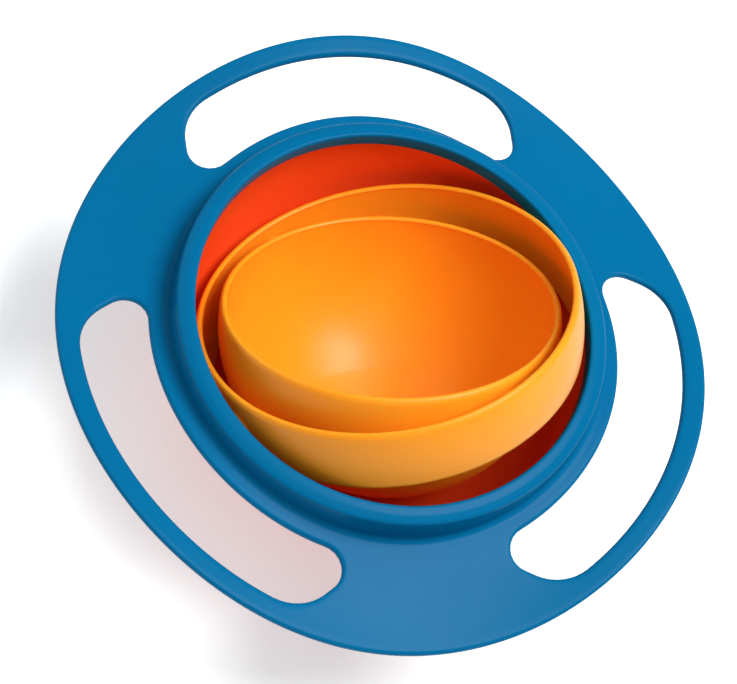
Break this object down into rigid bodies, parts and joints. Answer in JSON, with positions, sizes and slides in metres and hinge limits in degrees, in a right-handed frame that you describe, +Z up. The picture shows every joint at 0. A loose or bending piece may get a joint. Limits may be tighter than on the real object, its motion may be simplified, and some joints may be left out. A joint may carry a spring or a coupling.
{
  "type": "gimbal bowl",
  "caption": "Spill-proof baby bowl: a food bowl on a two-axis gimbal inside a fixed dome, with a wavy saucer of finger grips and a suction foot.",
  "frame": {"origin": "on the table under the middle of the bowl: the point where the saucer's axis meets the plane the foot stands on", "axes": "+Z up along the saucer's axis; the ring's pivots lie along Y, through the middle of one grip on the -Y side; +X completes the right-handed frame"},
  "size_m": [0.228, 0.228, 0.1192],
  "materials": {
    "saucer_plastic": "satin moulded polypropylene, blue",
    "dome_plastic": "satin moulded polypropylene, red",
    "bowl_plastic": "slightly translucent moulded polypropylene, yellow-orange",
    "pin_plastic": "natural acetal",
    "soft_foot": "soft translucent elastomer",
    "screw_steel": "stainless steel"
  },
  "bodies": {
    "housing": {"saucer": "saucer_plastic", "base_dome": "dome_plastic", "suction_foot": "soft_foot", "ring_pivot_pin_front": "pin_plastic", "ring_pivot_pin_rear": "pin_plastic", "saucer_screws": "screw_steel"},
    "ring": {"gimbal_ring": "bowl_plastic"},
    "bowl": {"food_bowl": "bowl_plastic", "bowl_pivot_pin_left": "pin_plastic", "bowl_pivot_pin_right": "pin_plastic"}
  },
  "joints": [
    {"name": "ring_swing", "type": "hinge", "parent": "housing", "child": "ring", "pos_m": [0, 0, 0.0758], "axis": [0, 1, 0], "continuous": true},
    {"name": "bowl_swing", "type": "hinge", "parent": "ring", "child": "bowl", "pos_m": [0, 0, 0.0758], "axis": [0.8581, 0, 0.5135], "continuous": true}
  ]
}
